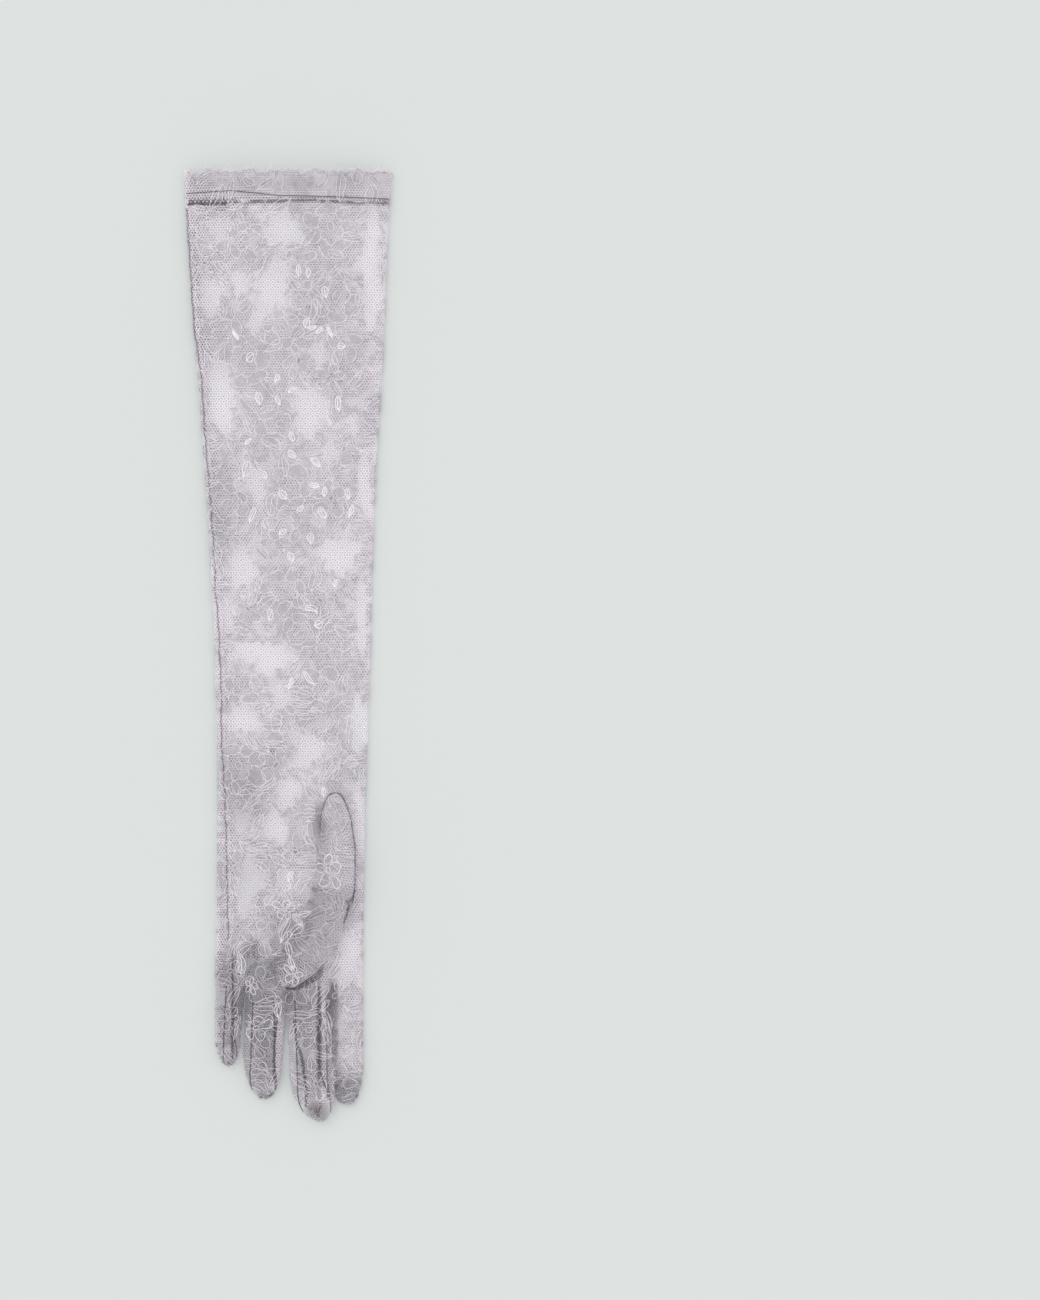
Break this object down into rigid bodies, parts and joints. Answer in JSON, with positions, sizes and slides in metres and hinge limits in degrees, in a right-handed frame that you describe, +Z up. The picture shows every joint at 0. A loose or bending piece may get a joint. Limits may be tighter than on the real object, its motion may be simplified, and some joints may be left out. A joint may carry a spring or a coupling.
{
  "type": "lace opera glove",
  "caption": "Elbow-length floral lace glove lying flat, palm up, with its thumb folded back over the palm and an open, turned-in cuff.",
  "frame": {"origin": "middle of the footprint, on the underside that rests on the table", "axes": "+Z up out of the palm, +Y from the fingertips to the cuff, +X towards the thumb side"},
  "size_m": [0.131, 0.5992, 0.0158],
  "materials": {
    "lace": "pale greyish lilac nylon lace, matt, see-through between the flowers",
    "seam": "doubled lace and overlock stitching in the same greyish lilac, matt"
  },
  "bodies": {
    "root": {"palm_back_and_sleeve": "lace", "thumb": "lace", "fourchette_little_ring": "lace", "fourchette_ring_middle": "lace", "fourchette_middle_index": "lace", "cuff_hem": "seam", "side_seam": "seam"}
  },
  "joints": []
}
